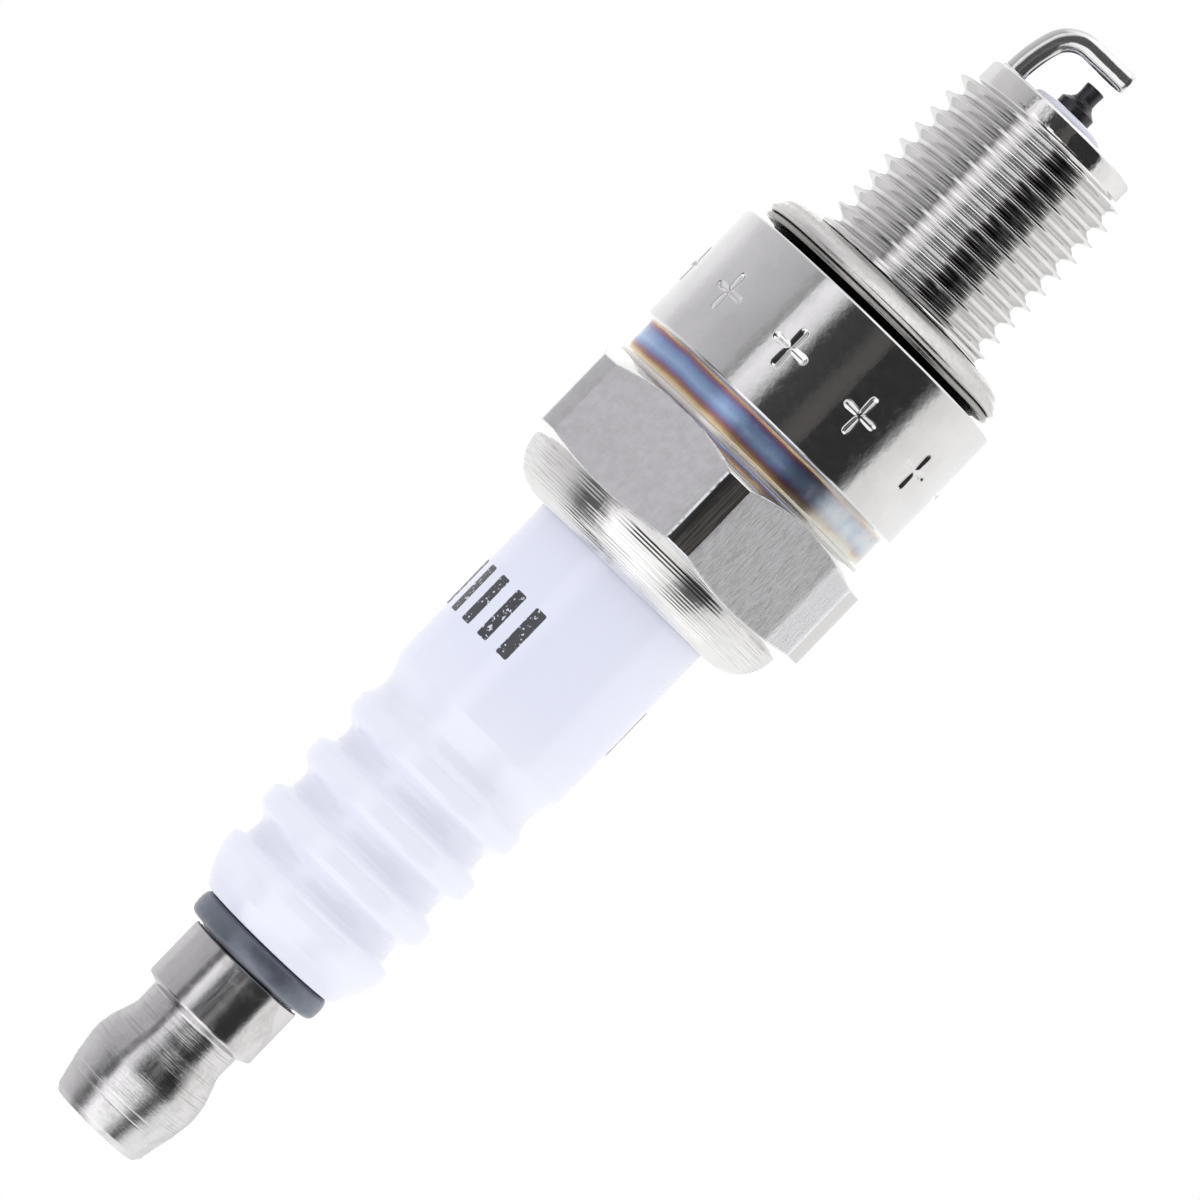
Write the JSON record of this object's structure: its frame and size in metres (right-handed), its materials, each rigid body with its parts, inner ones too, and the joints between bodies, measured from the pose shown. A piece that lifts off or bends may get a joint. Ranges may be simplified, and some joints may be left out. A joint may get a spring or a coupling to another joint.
{
  "type": "spark plug",
  "caption": "Motorcycle spark plug with a slim threaded steel shell, hexagon, ribbed white ceramic insulator, screw-on terminal, loose gasket and a bent ground electrode.",
  "frame": {"origin": "on the plug's axis, in the plane of the shell's gasket seat", "axes": "+Z along the axis to the terminal, so the firing end points down -Z; the ground electrode's foot is on +X"},
  "size_m": [0.0166, 0.0178, 0.0671],
  "materials": {
    "nickel_plate": "bright nickel plate with fine turning lines",
    "glazed_alumina": "glossy white glaze with a faint blue tint",
    "soft_steel": "plain soft steel",
    "talc": "pressed powder",
    "electrode_nickel": "dark oxidised nickel alloy",
    "copper": "drawn copper",
    "copper_glass": "fused glass filled with copper powder",
    "oxidised_steel": "furnace-blued steel, matt",
    "terminal_plate": "nickel plate with cloudy dull patches",
    "strap_nickel": "polished nickel alloy",
    "gasket_steel": "matt zinc-plated sheet steel, slightly grainy"
  },
  "bodies": {
    "plug_body": {"shell": "nickel_plate", "insulator": "glazed_alumina", "shoulder_washer": "soft_steel", "lower_wire_ring": "soft_steel", "upper_wire_ring": "soft_steel", "talc_packing": "talc", "centre_electrode": "electrode_nickel", "electrode_copper_core": "copper", "glass_seal": "copper_glass", "terminal_stud": "oxidised_steel", "ground_electrode": "strap_nickel"},
    "terminal": {"terminal_nut": "terminal_plate"},
    "gasket_ring": {"gasket": "gasket_steel"}
  },
  "joints": [
    {"name": "terminal_unscrew", "type": "slide", "parent": "plug_body", "child": "terminal", "axis": [0, 0, 1], "range_m": [0, 0.0095]},
    {"name": "gasket_play", "type": "slide", "parent": "plug_body", "child": "gasket_ring", "axis": [0, 0, -1], "range_m": [0, 0.0012]}
  ]
}
